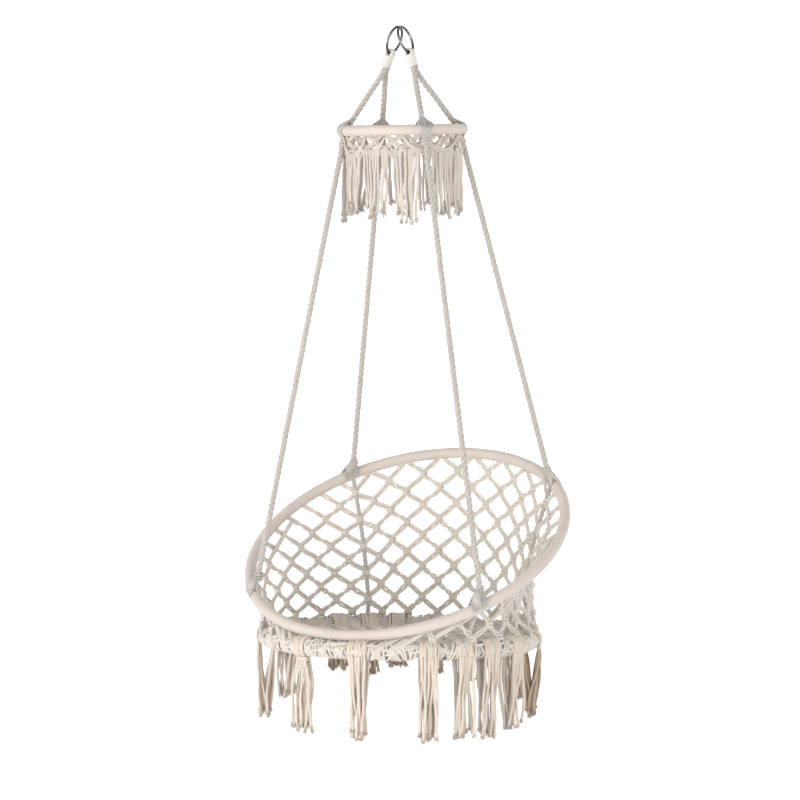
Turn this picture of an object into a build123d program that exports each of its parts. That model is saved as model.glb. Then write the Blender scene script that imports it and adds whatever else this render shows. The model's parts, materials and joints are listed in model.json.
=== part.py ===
from build123d import *

import os
from math import asin, cos, degrees, pi, radians, sin, tan

# A macrame nest swing: two steel rings carry four ropes, which run over a small
# spreader hoop to a tilted back hoop. A net hangs from the back hoop and holds a level
# seat hoop with a netted seat. Tassels hang from the seat hoop and a fringe from the
# spreader hoop. Millimetres, +Z up, sitter faces -Y. The origin is where a hook bears
# on the inside top of the rings. Angles on a hoop run from the front towards +X.

# suspension rings
RING_RADIUS = 31.8
RING_WIRE = 3.2
RING_LEAN = 20.0
RING_TOP_OFFSET = 3.6

# ropes and the bindings under the rings
ROPE_RADIUS = 7.0
EYE_ROPE_RADIUS = 6.0
EYE_RADIUS = 11.6
BINDING_LENGTH = 28.0
BINDING_WALL = 1.5
BINDING_LEAN = 19.0
ROPE_PITCH = 2 * ROPE_RADIUS + 0.4
FORK_RUN = 16.0
FORK_FILLET_SHARE = 0.45
LOWER_ROPE_RADIUS = 6.0

# hoops: centre line radius, cord-wrapped radius, steel tube radius, place and tilt
SPREADER_RADIUS = 139.0
SPREADER_TUBE = 12.5
SPREADER_STEEL = 8.5
SPREADER_CENTRE = (0, 13, -239)
SPREADER_TILT = 2.0
BACK_RADIUS = 386.0
BACK_TUBE = 13.5
BACK_STEEL = 9.5
BACK_CENTRE = (0, 34, -1217)
BACK_TILT = 29.0
SEAT_RADIUS = 316.0
SEAT_TUBE = 14.0
SEAT_STEEL = 10.0
SEAT_CENTRE = (0, -4, -1443)
SEAT_TILT = -1.7
STEEL_WALL = 1.2

# where the ropes are tied, as angles on the hoops
SPREADER_FRONT_TIE = 48.5
SPREADER_BACK_TIE = 131.5
BACK_FRONT_TIE = 52.0
BACK_BACK_TIE = 134.0
KNOT_WALL = 7.0
KNOT_WIDTH = 22.0

# nets
WALL_NET = 2.4
WALL_NET_OFFSET = 23.5
WALL_NET_GAP = 1.0
WALL_NET_MARGIN = 5.6
WALL_NET_SECTIONS = 7
FRONT_NET = 4.0
FRONT_NET_OFFSET = 26.0
SPREADER_NET = 4.0
SPREADER_NET_DROP = 48.0
SPREADER_NET_MARGIN = 6.5
SEAT_NET = 4.0
SEAT_NET_SAG = 22.0
SEAT_NET_CLEARANCE = 11.5

# lacing that ties the back hoop to the seat hoop at the front
LACING_SPACING = 30.0
LACING_CORD = 5.0
LACING_CLEARANCE = 1.0

# tassels on the seat hoop: angle and hanging length of each
TASSELS = [
    (10.6, 210),
    (39.6, 214),
    (55.2, 208),
    (67.6, 212),
    (83.6, 200),
    (110.6, 186),
    (142.6, 172),
    (174.6, 150),
    (191.1, 128),
    (208.6, 118),
    (221.4, 136),
    (236.6, 122),
    (266.2, 176),
    (297.6, 202),
    (343.1, 206),
]
TASSEL_LOOP_WALL = 5.0
TASSEL_LOOP_WIDTH = 22.0
TASSEL_LOOP_CLEARANCE = 0.6
TASSEL_NECK = (18.0, 13.0)
TASSEL_BELLY = (32.0, 19.0)
TASSEL_HEM = (36.0, 23.0)
TASSEL_BELLY_DROP = 70.0
TASSEL_CORNER = 5.0

# fringe groups under the spreader hoop: angle and hanging length of each
FRINGES = [
    (0.0, 158),
    (32.0, 168),
    (72.0, 164),
    (105.0, 152),
    (150.0, 138),
    (180.0, 144),
    (210.0, 140),
    (255.0, 150),
    (288.0, 172),
    (328.0, 146),
]
FRINGE_HEAD = (26.0, 7.0)
FRINGE_HEM = (34.0, 15.0)
FRINGE_CORNER = 2.5
FRINGE_GAP = 2.0

FIT_GAP = 0.3
SLEEVE_GAP = 0.1

FULL_TURN = 360.0
UP = Vector(0, 0, 1)


def tilted_plane(centre, tilt):
    """A hoop's plane, with its back raised by the tilt."""
    lean = radians(tilt)
    return Plane(origin=centre, x_dir=(1, 0, 0), z_dir=(0, -sin(lean), cos(lean)))


SPREADER = tilted_plane(SPREADER_CENTRE, SPREADER_TILT)
BACK = tilted_plane(BACK_CENTRE, BACK_TILT)
SEAT = tilted_plane(SEAT_CENTRE, SEAT_TILT)


def hoop_point(plane, radius, angle):
    """The point of a hoop's centre line at an angle from the front."""
    turn = radians(angle)
    return plane.from_local_coords(Vector(radius * sin(turn), -radius * cos(turn), 0))


def outward(angle):
    """The level direction that points away from the swing's middle."""
    turn = radians(angle)
    return Vector(sin(turn), -cos(turn), 0)


def along(angle):
    """The level direction along a hoop, at a right angle to outward."""
    turn = radians(angle)
    return Vector(cos(turn), sin(turn), 0)


def tube_section(plane, radius, angle):
    """The plane that cuts a hoop's tube square, with its X pointing out of the hoop."""
    centre = hoop_point(plane, radius, angle)
    across = hoop_point(plane, 1, angle) - plane.origin
    forward = hoop_point(plane, 1, angle + 90) - plane.origin
    return Plane(origin=centre, x_dir=across, z_dir=forward)


def hoop_axis(plane):
    return Axis(plane.origin, plane.z_dir)


def clear_length(plane, angle, direction, clearance, radius=0.0):
    """How far along a direction a square-cut end of a radius first clears a hoop's tube."""
    forward = hoop_point(plane, 1, angle + 90) - plane.origin
    meeting = radians(direction.get_angle(forward))
    return (clearance + radius * abs(cos(meeting))) / sin(meeting)


def save(part, name):
    part.label = name
    export_step(part, "parts/" + name + ".step")


def make_hollow_hoop(name, plane, radius, outer, inner):
    """A round tube bent into a whole hoop."""
    with BuildPart() as hoop:
        with BuildSketch(tube_section(plane, radius, 0)):
            Circle(outer)
            Circle(inner, mode=Mode.SUBTRACT)
        revolve(axis=hoop_axis(plane), revolution_arc=FULL_TURN)
    save(hoop.part, name)


def make_knots(name, plane, radius, tube, angles):
    """Rope knots: each is a sleeve round the hoop where a rope is tied."""
    width = degrees(KNOT_WIDTH / radius)
    with BuildPart() as knots:
        for angle in angles:
            with BuildSketch(tube_section(plane, radius, angle - width / 2)):
                Circle(tube + KNOT_WALL)
                Circle(tube + SLEEVE_GAP, mode=Mode.SUBTRACT)
            revolve(axis=hoop_axis(plane), revolution_arc=width)
    save(knots.part, name)


def make_straight_rope(name, start, end, radius):
    with BuildPart() as rope:
        with BuildSketch(Plane(origin=start, z_dir=end - start)):
            Circle(radius)
        extrude(amount=(end - start).length)
    save(rope.part, name)


def make_forked_rope(name, start, bend, end, radius):
    """A rope that leaves its binding straight and then bends to its own line."""
    turn = (bend - start).get_angle(end - bend)
    fillet_radius = FORK_FILLET_SHARE * (bend - start).length / tan(radians(turn / 2))
    print(name, "bend radius", round(fillet_radius, 1))
    with BuildPart() as rope:
        with BuildLine() as path:
            FilletPolyline(start, bend, end, radius=fillet_radius)
        with BuildSketch(Plane(origin=start, z_dir=bend - start)):
            Circle(radius)
        sweep()
    length = path.wires()[0].length
    share = rope.part.volume / (length * pi * radius**2)
    print(name, "length", round(length, 1), "volume share", round(share, 4))
    save(rope.part, name)


def make_ring(name, side):
    """A steel ring whose plane leans out to one side as it comes down."""
    lean = radians(RING_LEAN)
    down = Vector(side * sin(lean), 0, -cos(lean))
    top = Vector(side * RING_TOP_OFFSET, 0, RING_WIRE * cos(lean))
    centre = top + down * RING_RADIUS
    with BuildPart(Plane(origin=centre, x_dir=down, z_dir=down.cross(Vector(0, 1, 0)))) as ring:
        Torus(RING_RADIUS, RING_WIRE)
    save(ring.part, name)
    return top + down * RING_RADIUS * 2


def make_eye(name, ring_bottom):
    """The rope loop that goes round the bottom of a ring."""
    with BuildPart(Plane(origin=ring_bottom, z_dir=(0, 1, 0))) as eye:
        Torus(EYE_RADIUS, EYE_ROPE_RADIUS)
    save(eye.part, name)


def make_binding(name, ring_bottom, side):
    """The cord binding that grips the two ropes side by side under their eye."""
    lean = radians(BINDING_LEAN)
    down = Vector(side * sin(lean), 0, -cos(lean))
    start = ring_bottom + down * (EYE_RADIUS + EYE_ROPE_RADIUS + FIT_GAP)
    width = 2 * (ROPE_RADIUS + BINDING_WALL)
    with BuildPart() as binding:
        with BuildSketch(Plane(origin=start, x_dir=(0, 1, 0), z_dir=down)):
            SlotCenterToCenter(ROPE_PITCH, width)
        extrude(amount=BINDING_LENGTH)
    save(binding.part, name)
    return start + down * BINDING_LENGTH, down


def make_panel(name, first, last, sections, thickness, edge_points):
    """A net panel, lofted through upright sections from its upper to its lower edge."""
    with BuildPart() as panel:
        for step in range(sections):
            angle = first + (last - first) * step / (sections - 1)
            upper, lower = edge_points(angle)
            fall = lower - upper
            across = fall.cross(along(angle)).cross(fall)
            middle = (upper + lower) / 2
            with BuildSketch(Plane(origin=middle, x_dir=fall, z_dir=across)):
                Rectangle(fall.length, thickness)
        loft()
    save(panel.part, name)


def wall_edges(angle):
    """The side and back net hangs under the back hoop and passes outside the seat hoop."""
    hoop = hoop_point(BACK, BACK_RADIUS, angle)
    lower = hoop_point(SEAT, SEAT_RADIUS, angle) + outward(angle) * WALL_NET_OFFSET
    fall = (lower - hoop).normalized()
    upper = hoop + fall * clear_length(BACK, angle, fall, BACK_TUBE + WALL_NET_GAP)
    return upper, lower


def front_edges(angle):
    """The low front net stands outside both hoops, which nearly meet there."""
    upper = hoop_point(BACK, BACK_RADIUS, angle) + outward(angle) * FRONT_NET_OFFSET
    lower = hoop_point(SEAT, SEAT_RADIUS, angle) + outward(angle) * FRONT_NET_OFFSET
    return upper, lower


def make_spreader_net(name):
    """The netted band under the spreader hoop, in four panels between the ropes."""
    ties = [
        -SPREADER_FRONT_TIE,
        SPREADER_FRONT_TIE,
        SPREADER_BACK_TIE,
        FULL_TURN - SPREADER_BACK_TIE,
        FULL_TURN - SPREADER_FRONT_TIE,
    ]
    top = -SPREADER_TUBE - FIT_GAP
    with BuildPart() as net:
        for first, last in zip(ties[:-1], ties[1:]):
            start = first + SPREADER_NET_MARGIN
            arc = last - first - 2 * SPREADER_NET_MARGIN
            with BuildSketch(tube_section(SPREADER, SPREADER_RADIUS, start)):
                with Locations((0, -(top - SPREADER_NET_DROP / 2))):
                    Rectangle(SPREADER_NET, SPREADER_NET_DROP)
            revolve(axis=hoop_axis(SPREADER), revolution_arc=arc)
    save(net.part, name)


def make_seat_net(name):
    """The netted seat: a shallow round dish inside the seat hoop."""
    edge = SEAT_RADIUS - SEAT_TUBE - SEAT_NET_CLEARANCE
    dish_radius = (edge**2 + SEAT_NET_SAG**2) / (2 * SEAT_NET_SAG)
    dish_centre = (0, dish_radius - SEAT_NET_SAG)
    arc = degrees(asin(edge / dish_radius))
    bottom = -90
    profile = Plane(origin=SEAT.origin, x_dir=(1, 0, 0), z_dir=-SEAT.y_dir)
    with BuildPart() as net:
        with BuildSketch(profile):
            with BuildLine():
                top = CenterArc(dish_centre, dish_radius - SEAT_NET / 2, bottom, arc)
                under = CenterArc(dish_centre, dish_radius + SEAT_NET / 2, bottom, arc)
                Line(top @ 0, under @ 0)
                Line(top @ 1, under @ 1)
            make_face()
        revolve(axis=hoop_axis(SEAT), revolution_arc=FULL_TURN)
    save(net.part, name)


def make_lacing(name):
    """Cord loops round both hoops at the front, on which the seat folds."""
    inner = SEAT_TUBE + LACING_CLEARANCE
    outer = inner + LACING_CORD
    with BuildPart() as lacing:
        for place in (-LACING_SPACING, 0, LACING_SPACING):
            upper = hoop_point(BACK, BACK_RADIUS, degrees(place / BACK_RADIUS))
            lower = hoop_point(SEAT, SEAT_RADIUS, degrees(place / SEAT_RADIUS))
            level = Plane(origin=(place, 0, 0), x_dir=(0, 1, 0), z_dir=(1, 0, 0))
            middle = ((upper.Y + lower.Y) / 2, (upper.Z + lower.Z) / 2)
            with BuildSketch(level):
                SlotCenterPoint(middle, (upper.Y, upper.Z), 2 * outer)
                SlotCenterPoint(middle, (upper.Y, upper.Z), 2 * inner, mode=Mode.SUBTRACT)
            extrude(amount=LACING_CORD / 2, both=True)
    save(lacing.part, name)


def make_tassel(name, angle, length):
    """A tassel: a loop round the seat hoop and the bundle of cords under it."""
    centre = hoop_point(SEAT, SEAT_RADIUS, angle)
    width = degrees(TASSEL_LOOP_WIDTH / SEAT_RADIUS)
    inner = SEAT_TUBE + TASSEL_LOOP_CLEARANCE
    neck = inner + TASSEL_LOOP_WALL / 2
    levels = [(neck, TASSEL_NECK), (TASSEL_BELLY_DROP, TASSEL_BELLY), (length, TASSEL_HEM)]
    with BuildPart() as tassel:
        with BuildSketch(tube_section(SEAT, SEAT_RADIUS, angle - width / 2)):
            Circle(inner + TASSEL_LOOP_WALL)
            Circle(inner, mode=Mode.SUBTRACT)
        revolve(axis=hoop_axis(SEAT), revolution_arc=width)
        for drop, size in levels:
            level = centre - UP * drop
            with BuildSketch(Plane(origin=level, x_dir=along(angle), z_dir=(0, 0, -1))):
                RectangleRounded(size[0], size[1], TASSEL_CORNER)
        loft()
    save(tassel.part, name)


def make_fringe(name, angle, length):
    """A group of fringe cords under the netted band of the spreader hoop."""
    drop = SPREADER_TUBE + SPREADER_NET_DROP + 2 * FIT_GAP
    edge = hoop_point(SPREADER, SPREADER_RADIUS, angle) - SPREADER.z_dir * drop
    with BuildPart() as fringe:
        for fall, size in ((FRINGE_GAP, FRINGE_HEAD), (length, FRINGE_HEM)):
            level = edge - UP * fall
            with BuildSketch(Plane(origin=level, x_dir=along(angle), z_dir=(0, 0, -1))):
                RectangleRounded(size[0], size[1], FRINGE_CORNER)
        loft()
    save(fringe.part, name)


def make_rope_run(corner, side, front, binding_end, down):
    """The upper, main and lower spans of one of the four ropes."""
    facing = -1 if front else 1
    spreader_angle = side * (SPREADER_FRONT_TIE if front else SPREADER_BACK_TIE)
    back_angle = side * (BACK_FRONT_TIE if front else BACK_BACK_TIE)
    spreader = hoop_point(SPREADER, SPREADER_RADIUS, spreader_angle)
    back = hoop_point(BACK, BACK_RADIUS, back_angle)
    start = binding_end + Vector(0, facing * ROPE_PITCH / 2, 0)
    bend = start + down * FORK_RUN
    spreader_knot = SPREADER_TUBE + KNOT_WALL + FIT_GAP
    back_knot = BACK_TUBE + KNOT_WALL + FIT_GAP
    rise = (bend - spreader).normalized()
    upper_gap = clear_length(SPREADER, spreader_angle, rise, spreader_knot, ROPE_RADIUS)
    upper_end = spreader + rise * upper_gap
    make_forked_rope("upper_rope_" + corner, start, bend, upper_end, ROPE_RADIUS)
    fall = (back - spreader).normalized()
    main_gap = clear_length(SPREADER, spreader_angle, fall, spreader_knot, ROPE_RADIUS)
    main_start = spreader + fall * main_gap
    main_end = back - fall * clear_length(BACK, back_angle, fall, back_knot, ROPE_RADIUS)
    make_straight_rope("main_rope_" + corner, main_start, main_end, ROPE_RADIUS)
    clear = SEAT_TUBE + TASSEL_LOOP_WALL + LOWER_ROPE_RADIUS + 2 * TASSEL_LOOP_CLEARANCE
    seat = hoop_point(SEAT, SEAT_RADIUS, back_angle) + outward(back_angle) * clear
    fall = (seat - back).normalized()
    lower_gap = clear_length(BACK, back_angle, fall, back_knot, LOWER_ROPE_RADIUS)
    lower_start = back + fall * lower_gap
    make_straight_rope("lower_rope_" + corner, lower_start, seat, LOWER_ROPE_RADIUS)


os.makedirs("parts", exist_ok=True)

for side, side_name in ((-1, "left"), (1, "right")):
    ring_bottom = make_ring("ring_" + side_name, side)
    make_eye("rope_eye_" + side_name, ring_bottom)
    binding_end, down = make_binding("binding_" + side_name, ring_bottom, side)
    make_rope_run("front_" + side_name, side, True, binding_end, down)
    make_rope_run("back_" + side_name, side, False, binding_end, down)

hoops = (
    ("spreader_hoop", SPREADER, SPREADER_RADIUS, SPREADER_TUBE, SPREADER_STEEL),
    ("back_hoop", BACK, BACK_RADIUS, BACK_TUBE, BACK_STEEL),
    ("seat_hoop", SEAT, SEAT_RADIUS, SEAT_TUBE, SEAT_STEEL),
)
for hoop_name, plane, radius, tube, steel in hoops:
    make_hollow_hoop(hoop_name + "_steel", plane, radius, steel, steel - STEEL_WALL)
    make_hollow_hoop(hoop_name + "_wrap", plane, radius, tube, steel + SLEEVE_GAP)

spreader_ties = (SPREADER_FRONT_TIE, SPREADER_BACK_TIE, -SPREADER_BACK_TIE, -SPREADER_FRONT_TIE)
back_ties = (BACK_FRONT_TIE, BACK_BACK_TIE, -BACK_BACK_TIE, -BACK_FRONT_TIE)
make_knots("spreader_knots", SPREADER, SPREADER_RADIUS, SPREADER_TUBE, spreader_ties)
make_knots("back_knots", BACK, BACK_RADIUS, BACK_TUBE, back_ties)
make_spreader_net("spreader_net")

front_side = BACK_FRONT_TIE + WALL_NET_MARGIN
rear_side = BACK_BACK_TIE - WALL_NET_MARGIN
rear = BACK_BACK_TIE + WALL_NET_MARGIN
make_panel("net_right", front_side, rear_side, WALL_NET_SECTIONS, WALL_NET, wall_edges)
make_panel("net_left", -rear_side, -front_side, WALL_NET_SECTIONS, WALL_NET, wall_edges)
make_panel("net_back", rear, FULL_TURN - rear, WALL_NET_SECTIONS, WALL_NET, wall_edges)
front = BACK_FRONT_TIE - WALL_NET_MARGIN
make_panel("net_front", -front, front, WALL_NET_SECTIONS, FRONT_NET, front_edges)
make_lacing("front_lacing")
make_seat_net("seat_net")

for number, (angle, length) in enumerate(TASSELS, start=1):
    make_tassel("tassel_" + str(number).zfill(2), angle, length)

for number, (angle, length) in enumerate(FRINGES, start=1):
    make_fringe("fringe_" + str(number).zfill(2), angle, length)
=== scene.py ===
import json
import math
import random

import bpy
import numpy as np
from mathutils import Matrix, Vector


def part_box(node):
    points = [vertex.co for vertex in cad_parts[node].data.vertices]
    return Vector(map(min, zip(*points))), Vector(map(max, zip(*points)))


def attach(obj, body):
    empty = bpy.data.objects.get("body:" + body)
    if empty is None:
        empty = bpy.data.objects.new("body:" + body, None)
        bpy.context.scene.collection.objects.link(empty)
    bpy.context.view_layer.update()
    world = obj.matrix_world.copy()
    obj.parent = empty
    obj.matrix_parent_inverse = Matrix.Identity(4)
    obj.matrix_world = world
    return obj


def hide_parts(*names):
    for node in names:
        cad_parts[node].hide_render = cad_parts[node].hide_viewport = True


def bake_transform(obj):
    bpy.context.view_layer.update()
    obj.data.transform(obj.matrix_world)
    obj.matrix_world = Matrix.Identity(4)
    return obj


# The looks of a macrame nest swing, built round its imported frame. Metres, +Z up, the sitter
# faces -Y. Angles on a hoop are degrees from the front towards +X, as in the frame's source.

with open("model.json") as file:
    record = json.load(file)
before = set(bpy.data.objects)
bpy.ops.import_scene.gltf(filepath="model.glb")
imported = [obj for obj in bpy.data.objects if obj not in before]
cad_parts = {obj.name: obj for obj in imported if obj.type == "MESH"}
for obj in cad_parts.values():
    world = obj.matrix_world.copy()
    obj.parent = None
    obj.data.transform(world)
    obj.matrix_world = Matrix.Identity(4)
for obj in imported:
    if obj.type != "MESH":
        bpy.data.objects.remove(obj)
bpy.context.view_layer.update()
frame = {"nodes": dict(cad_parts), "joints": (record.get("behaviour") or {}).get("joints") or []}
random.seed(20)

# cords and ropes: the radius of each kind, the length of one twist, and how they are bound
NET_CORD = 0.0034
BAND_CORD = 0.0021
STRING_CORD = 0.0035
KNOT_CORD = 0.0026
ROPE_RADIUS = 0.0074
LOWER_ROPE_RADIUS = 0.0060
ROPE_PITCH = 0.044
LOWER_ROPE_PITCH = 0.036
FIBRE_RADIUS = 0.0007
FRAY_FIBRES = 14
UNEVEN = 0.07
BINDING_LEAN = 19.0
BINDING_TURNS = 9
ROPE_INSET = 0.006

# the wound cord on the hoops
WRAP_PITCH = 0.0036
WRAP_RIDGE = 0.0005
WRAP_RINGS_PER_TURN = 4
WRAP_SIDES = 20

# the diamond net between the back hoop and the seat hoop, and the angles of the ropes on it
FRONT_TIE = 52.0
BACK_TIE = 134.0
NET_SIDE_COLUMNS = 11
NET_BACK_COLUMNS = 14
NET_FRONT_COLUMNS = 14
NET_BASE = 0.026
NET_ROW = 0.0325
NET_BACK_ROWS = 9
NET_TOP_GAP = 0.044
NET_KNOT_GAP = 0.036
NET_OFFSET = 0.0185
NET_LEAN = 5.6
NET_WAIST = 0.024
NET_RIGHT_WAIST = 0.046
NET_PAIR = 0.0068
KNOT_SIZE = 0.80

# the netted seat
SEAT_CELL = 0.031
SEAT_SAG = 0.022
SEAT_LASHINGS = 230
SEAT_SPANS = 110

# the band and fringe under the spreader hoop, and the tassels on the seat hoop
BAND_COLUMNS = 40
BAND_ROWS = (0.025, 0.042, 0.059)
BAND_SWAGS = 15
FRINGES = 10
FRINGE_STRINGS = 10
TASSELS = 15
TASSEL_FOLDS = 8
TASSEL_HALF_WIDTH = 0.0180

# camera and room
CAMERA_AZIMUTH = 27.6
CAMERA_ELEVATION = 3.3
CAMERA_DISTANCE = 7.0
CAMERA_DROP = 0.877
CAMERA_LENS = 133.6
FLOOR_HEIGHT = -2.05
FLOOR_GLOW = 0.34
FLOOR_REACH = 7.0
FLOOR_BEND = 3.0
ROOM_GLOW = 0.55


def unit(vector):
    return vector / np.linalg.norm(vector)


def mesh_points(piece):
    """An object's vertices, as an array."""
    flat = np.zeros(len(piece.data.vertices) * 3)
    piece.data.vertices.foreach_get("co", flat)
    return flat.reshape(-1, 3)


def node_points(node):
    return mesh_points(frame["nodes"][node])


class Hoop:
    """A round hoop, read from its packed cord wrap."""

    def __init__(self, node):
        points = node_points(node)
        self.centre = (points.max(0) + points.min(0)) / 2
        offsets = points - self.centre
        normal = np.linalg.svd(offsets, full_matrices=False)[2][2]
        self.normal = normal * np.sign(normal[2])
        self.side = unit(np.array([1.0, 0, 0]) - self.normal * self.normal[0])
        self.ahead = np.cross(self.normal, self.side)
        flat = offsets - np.outer(offsets @ self.normal, self.normal)
        reach = np.linalg.norm(flat, axis=1)
        self.radius = (reach.max() + reach.min()) / 2
        self.tube = (reach.max() - reach.min()) / 2

    def outward(self, angle):
        """The direction away from the centre at an angle."""
        turn = math.radians(angle)
        return math.sin(turn) * self.side - math.cos(turn) * self.ahead

    def along(self, angle):
        turn = math.radians(angle)
        return math.cos(turn) * self.side + math.sin(turn) * self.ahead

    def point(self, angle):
        return self.centre + self.radius * self.outward(angle)

    def around(self, angle, turn, reach):
        """A point beside the tube: turn is 0 outside the hoop and 90 above it."""
        turn = math.radians(turn)
        lift = math.cos(turn) * self.outward(angle) + math.sin(turn) * self.normal
        return self.point(angle) + reach * lift


spreader = Hoop("spreader_hoop_wrap")
back = Hoop("back_hoop_wrap")
seat = Hoop("seat_hoop_wrap")


def rope_ends(node):
    """The two ends of a straight packed rope, the upper one first."""
    points = node_points(node)
    middle = points.mean(0)
    direction = np.linalg.svd(points - middle, full_matrices=False)[2][0]
    direction = direction * np.sign(direction[2])
    reach = (points - middle) @ direction
    return middle + direction * reach.max(), middle + direction * reach.min()


def angle_on(hoop, point):
    """The angle on a hoop of the place nearest to a point."""
    offset = point - hoop.centre
    return math.degrees(math.atan2(offset @ hoop.side, -(offset @ hoop.ahead)))


def smooth(points, steps):
    """A Catmull-Rom curve through points, with a number of steps between each pair."""
    points = np.asarray(points, float)
    first = 2 * points[:1] - points[1:2]
    last = 2 * points[-1:] - points[-2:-1]
    padded = np.concatenate([first, points, last])
    share = (np.arange(steps) / steps)[:, None]
    spans = []
    for a, b, c, d in zip(padded[:-3], padded[1:-2], padded[2:-1], padded[3:]):
        bend = (2 * a - 5 * b + 4 * c - d) * share**2
        twist = (3 * b - a - 3 * c + d) * share**3
        spans.append((2 * b + (c - a) * share + bend + twist) / 2)
    return np.concatenate([*spans, points[-1:]])


def path_lengths(path):
    steps = np.linalg.norm(np.diff(path, axis=0), axis=1)
    return np.concatenate([[0.0], np.cumsum(steps)])


def evenly(path, step):
    """The same path with its points a step apart."""
    lengths = path_lengths(path)
    places = np.linspace(0, lengths[-1], max(3, int(lengths[-1] / step) + 1))
    return np.stack([np.interp(places, lengths, path[:, k]) for k in range(3)], axis=1)


def path_frames(path):
    """Two directions across a path at each of its points, carried along without twist."""
    tangents = np.gradient(path, axis=0)
    tangents /= np.linalg.norm(tangents, axis=1)[:, None]
    start = np.array([0, 0, 1.0]) if abs(tangents[0][2]) < 0.9 else np.array([1.0, 0, 0])
    normals = np.zeros_like(path)
    normal = start
    for k, tangent in enumerate(tangents):
        normal = unit(normal - tangent * (normal @ tangent))
        normals[k] = normal
    return normals, np.cross(tangents, normals)


class CordMesh:
    """Round cords, gathered into one mesh. Its UV map runs round and along each cord."""

    def __init__(self):
        self.points = []
        self.quads = []
        self.quad_uvs = []
        self.caps = []
        self.count = 0

    def tube(self, path, radius, sides=6):
        path = np.asarray(path, float)
        rings = len(path)
        across, beside = path_frames(path)
        radii = np.broadcast_to(radius, rings)[:, None, None]
        turn = np.arange(sides) * 2 * math.pi / sides
        spokes = np.cos(turn)[None, :, None] * across[:, None]
        spokes = spokes + np.sin(turn)[None, :, None] * beside[:, None]
        points = (path[:, None] + radii * spokes).reshape(-1, 3)
        self.grid(points, rings, sides, path_lengths(path))
        ends = np.array([path[0], path[-1]])
        first = self.count - rings * sides
        for end, ring in ((0, first), (1, self.count - sides)):
            corners = ring + np.arange(sides)
            tip = np.full(sides, self.count + end)
            after = np.roll(corners, -1)
            self.caps.append(np.stack([after, corners, tip] if end == 0 else [corners, after, tip], 1))
        self.points.append(ends)
        self.count += 2

    def cord(self, path, radius, sides=6, step=0.0035):
        """A soft cord: a tube that is a little uneven all the way along."""
        path = evenly(np.asarray(path, float), step)
        wave = [1 + UNEVEN * random.uniform(-1, 1) for _ in path]
        self.tube(path, radius * np.array(wave), sides)

    def grid(self, points, rings, sides, lengths):
        """A tube of rings of points, open at its ends."""
        ring = np.arange(rings - 1)[:, None] * sides
        side = np.arange(sides)[None, :]
        beside = (side + 1) % sides
        corners = [ring + side, ring + beside, ring + sides + beside, ring + sides + side]
        self.quads.append(self.count + np.stack(corners, -1).reshape(-1, 4))
        u0 = np.broadcast_to(side / sides, (rings - 1, sides))
        u1 = u0 + 1 / sides
        v0 = np.broadcast_to(lengths[:-1, None], (rings - 1, sides))
        v1 = np.broadcast_to(lengths[1:, None], (rings - 1, sides))
        uvs = [np.stack(pair, -1) for pair in ((u0, v0), (u1, v0), (u1, v1), (u0, v1))]
        self.quad_uvs.append(np.stack(uvs, 2).reshape(-1, 4, 2))
        self.points.append(points)
        self.count += len(points)

    def object(self, name, material):
        """The finished mesh object."""
        points = np.concatenate(self.points)
        quads = np.concatenate(self.quads)
        uvs = np.concatenate(self.quad_uvs).reshape(-1, 2)
        caps = np.concatenate(self.caps) if self.caps else np.zeros((0, 3), int)
        return mesh_object(name, material, points, quads, caps, uvs)


def mesh_object(name, material, points, quads, triangles, uvs):
    mesh = bpy.data.meshes.new(name)
    mesh.vertices.add(len(points))
    mesh.vertices.foreach_set("co", points.astype(np.float32).ravel())
    loops = np.concatenate([quads.ravel(), triangles.ravel()]).astype(np.int32)
    sizes = np.concatenate([np.full(len(quads), 4), np.full(len(triangles), 3)])
    starts = np.concatenate([[0], np.cumsum(sizes)[:-1]]).astype(np.int32)
    mesh.loops.add(len(loops))
    mesh.loops.foreach_set("vertex_index", loops)
    mesh.polygons.add(len(sizes))
    mesh.polygons.foreach_set("loop_start", starts)
    mesh.polygons.foreach_set("use_smooth", np.ones(len(sizes), bool))
    layer = mesh.uv_layers.new(name="cord")
    padded = np.zeros((len(loops), 2), np.float32)
    padded[: len(uvs)] = uvs
    layer.data.foreach_set("uv", padded.ravel())
    mesh.update(calc_edges=True)
    mesh.validate()
    mesh.materials.append(material)
    piece = bpy.data.objects.new(name, mesh)
    bpy.context.scene.collection.objects.link(piece)
    return piece


def place(piece, body, slot, *nodes):
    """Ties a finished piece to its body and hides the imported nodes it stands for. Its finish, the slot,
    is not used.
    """
    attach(piece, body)
    if nodes:
        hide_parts(*nodes)
    return piece


# ---- materials


def new_material(name):
    material = bpy.data.materials.new(name)
    material.use_nodes = True
    tree = material.node_tree
    return material, tree, tree.nodes["Principled BSDF"]


def noise(tree, vector, scale, detail):
    texture = tree.nodes.new("ShaderNodeTexNoise")
    texture.inputs["Scale"].default_value = scale
    texture.inputs["Detail"].default_value = detail
    tree.links.new(vector, texture.inputs["Vector"])
    return texture.outputs["Fac"]


def mixed(tree, factor, low, high):
    """A colour between two, as a socket."""
    mix = tree.nodes.new("ShaderNodeMix")
    mix.data_type = "RGBA"
    for socket, value in ((mix.inputs["A"], low), (mix.inputs["B"], high)):
        if isinstance(value, tuple):
            socket.default_value = (*value, 1)
        else:
            tree.links.new(value, socket)
    tree.links.new(factor, mix.inputs["Factor"])
    return mix.outputs["Result"]


def arithmetic(tree, operation, first, second):
    node = tree.nodes.new("ShaderNodeMath")
    node.operation = operation
    for socket, value in zip(node.inputs, (first, second)):
        if isinstance(value, (int, float)):
            socket.default_value = value
        else:
            tree.links.new(value, socket)
    return node.outputs["Value"]


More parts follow.
